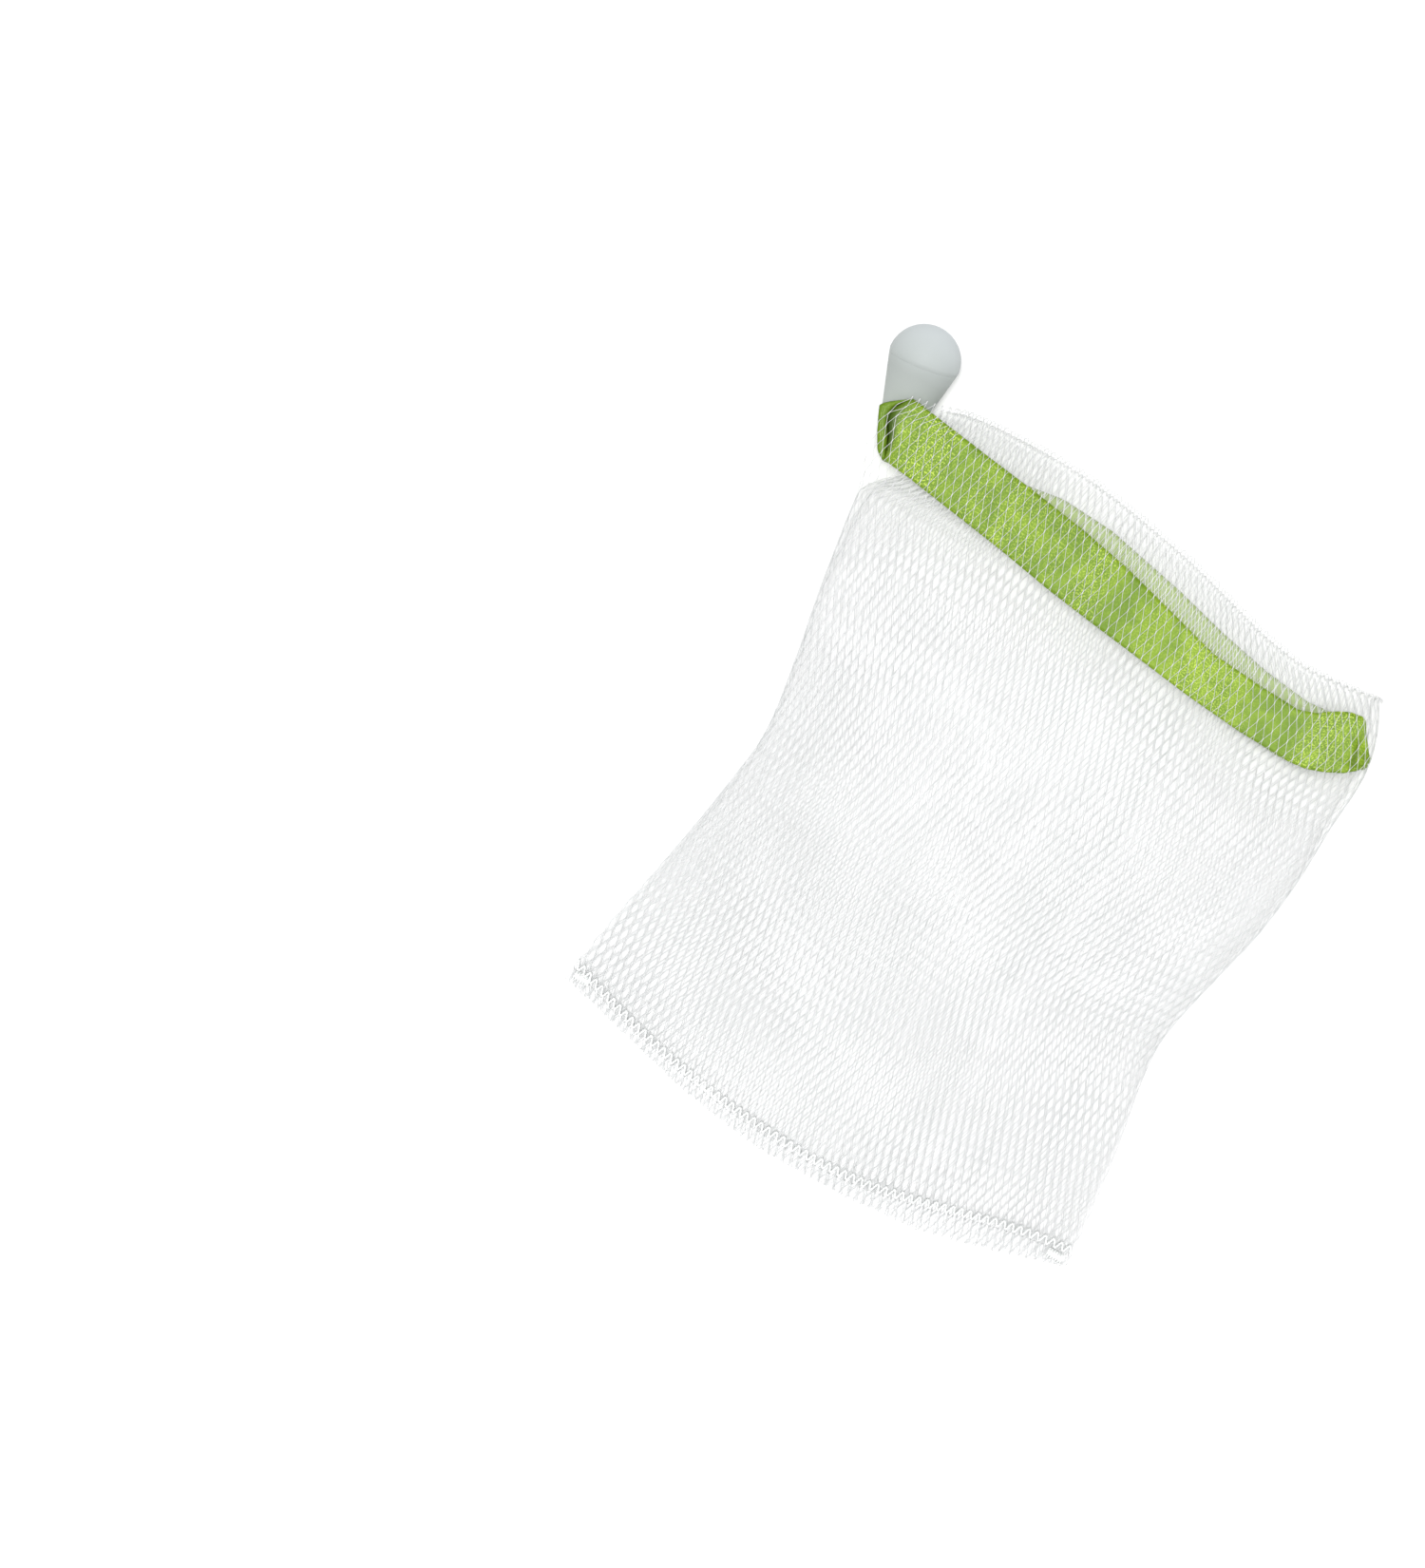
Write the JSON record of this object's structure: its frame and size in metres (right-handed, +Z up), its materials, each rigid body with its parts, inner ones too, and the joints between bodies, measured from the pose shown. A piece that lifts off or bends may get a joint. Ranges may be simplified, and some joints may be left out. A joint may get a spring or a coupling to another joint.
{
  "type": "mesh drawstring pouch",
  "caption": "Small two-ply knitted net pouch, sewn at the bottom, closed by a flat satin drawstring that ends in a bell-shaped plastic stopper.",
  "frame": {"origin": "on the underside, in the middle of the pouch, where it lies on the table", "axes": "+Y towards the mouth, +X towards the far end of the ribbon loop, +Z up off the table"},
  "size_m": [0.1077, 0.1367, 0.0124],
  "materials": {
    "net": "white monofilament knitted net",
    "ribbon": "yellow-green woven satin",
    "thread": "twisted sewing thread",
    "stopper": "frosted translucent"
  },
  "bodies": {
    "root": {"outer_net_back": "net", "outer_net_front": "net", "outer_net_left_fold": "net", "outer_net_right_fold": "net", "inner_net_back": "net", "inner_net_front": "net", "inner_net_left_fold": "net", "inner_net_right_fold": "net", "casing_outer_back": "net", "casing_outer_front": "net", "casing_outer_left_fold": "net", "casing_outer_right_fold": "net", "casing_inner_back": "net", "casing_inner_front": "net", "casing_inner_left_fold": "net", "casing_inner_right_fold": "net", "mouth_fold_back": "net", "mouth_fold_front": "net", "bottom_hem": "net", "bottom_fringe": "net", "bottom_seam_thread": "thread", "corner_tack_left": "thread", "corner_tack_right": "thread"},
    "drawstring": {"ribbon_front_run": "ribbon", "ribbon_back_run": "ribbon", "ribbon_far_loop": "ribbon", "ribbon_tail_front": "ribbon", "ribbon_tail_back": "ribbon"},
    "stopper": {"stopper_shell": "stopper", "ribbon_knot": "ribbon"},
    "cap": {"stopper_cap": "stopper"}
  },
  "joints": [
    {"name": "drawstring_pull", "type": "slide", "parent": "root", "child": "drawstring", "axis": [-0.996, 0.0894, 0], "range_m": [0, 0.05], "deforming": ["casing_outer_back", "casing_outer_front", "casing_outer_left_fold", "casing_outer_right_fold", "casing_inner_back", "casing_inner_front", "casing_inner_left_fold", "casing_inner_right_fold", "mouth_fold_back", "mouth_fold_front"]},
    {"name": "stopper_swing", "type": "hinge", "parent": "drawstring", "child": "stopper", "pos_m": [-0.0457, 0.0511, 0], "axis": [0, 0, 1], "range_deg": [0, 100], "deforming": ["ribbon_tail_front", "ribbon_tail_back"]},
    {"name": "cap_pull", "type": "slide", "parent": "stopper", "child": "cap", "axis": [-0.1434, 0.9595, 0.2425], "range_m": [0, 0.007]}
  ]
}
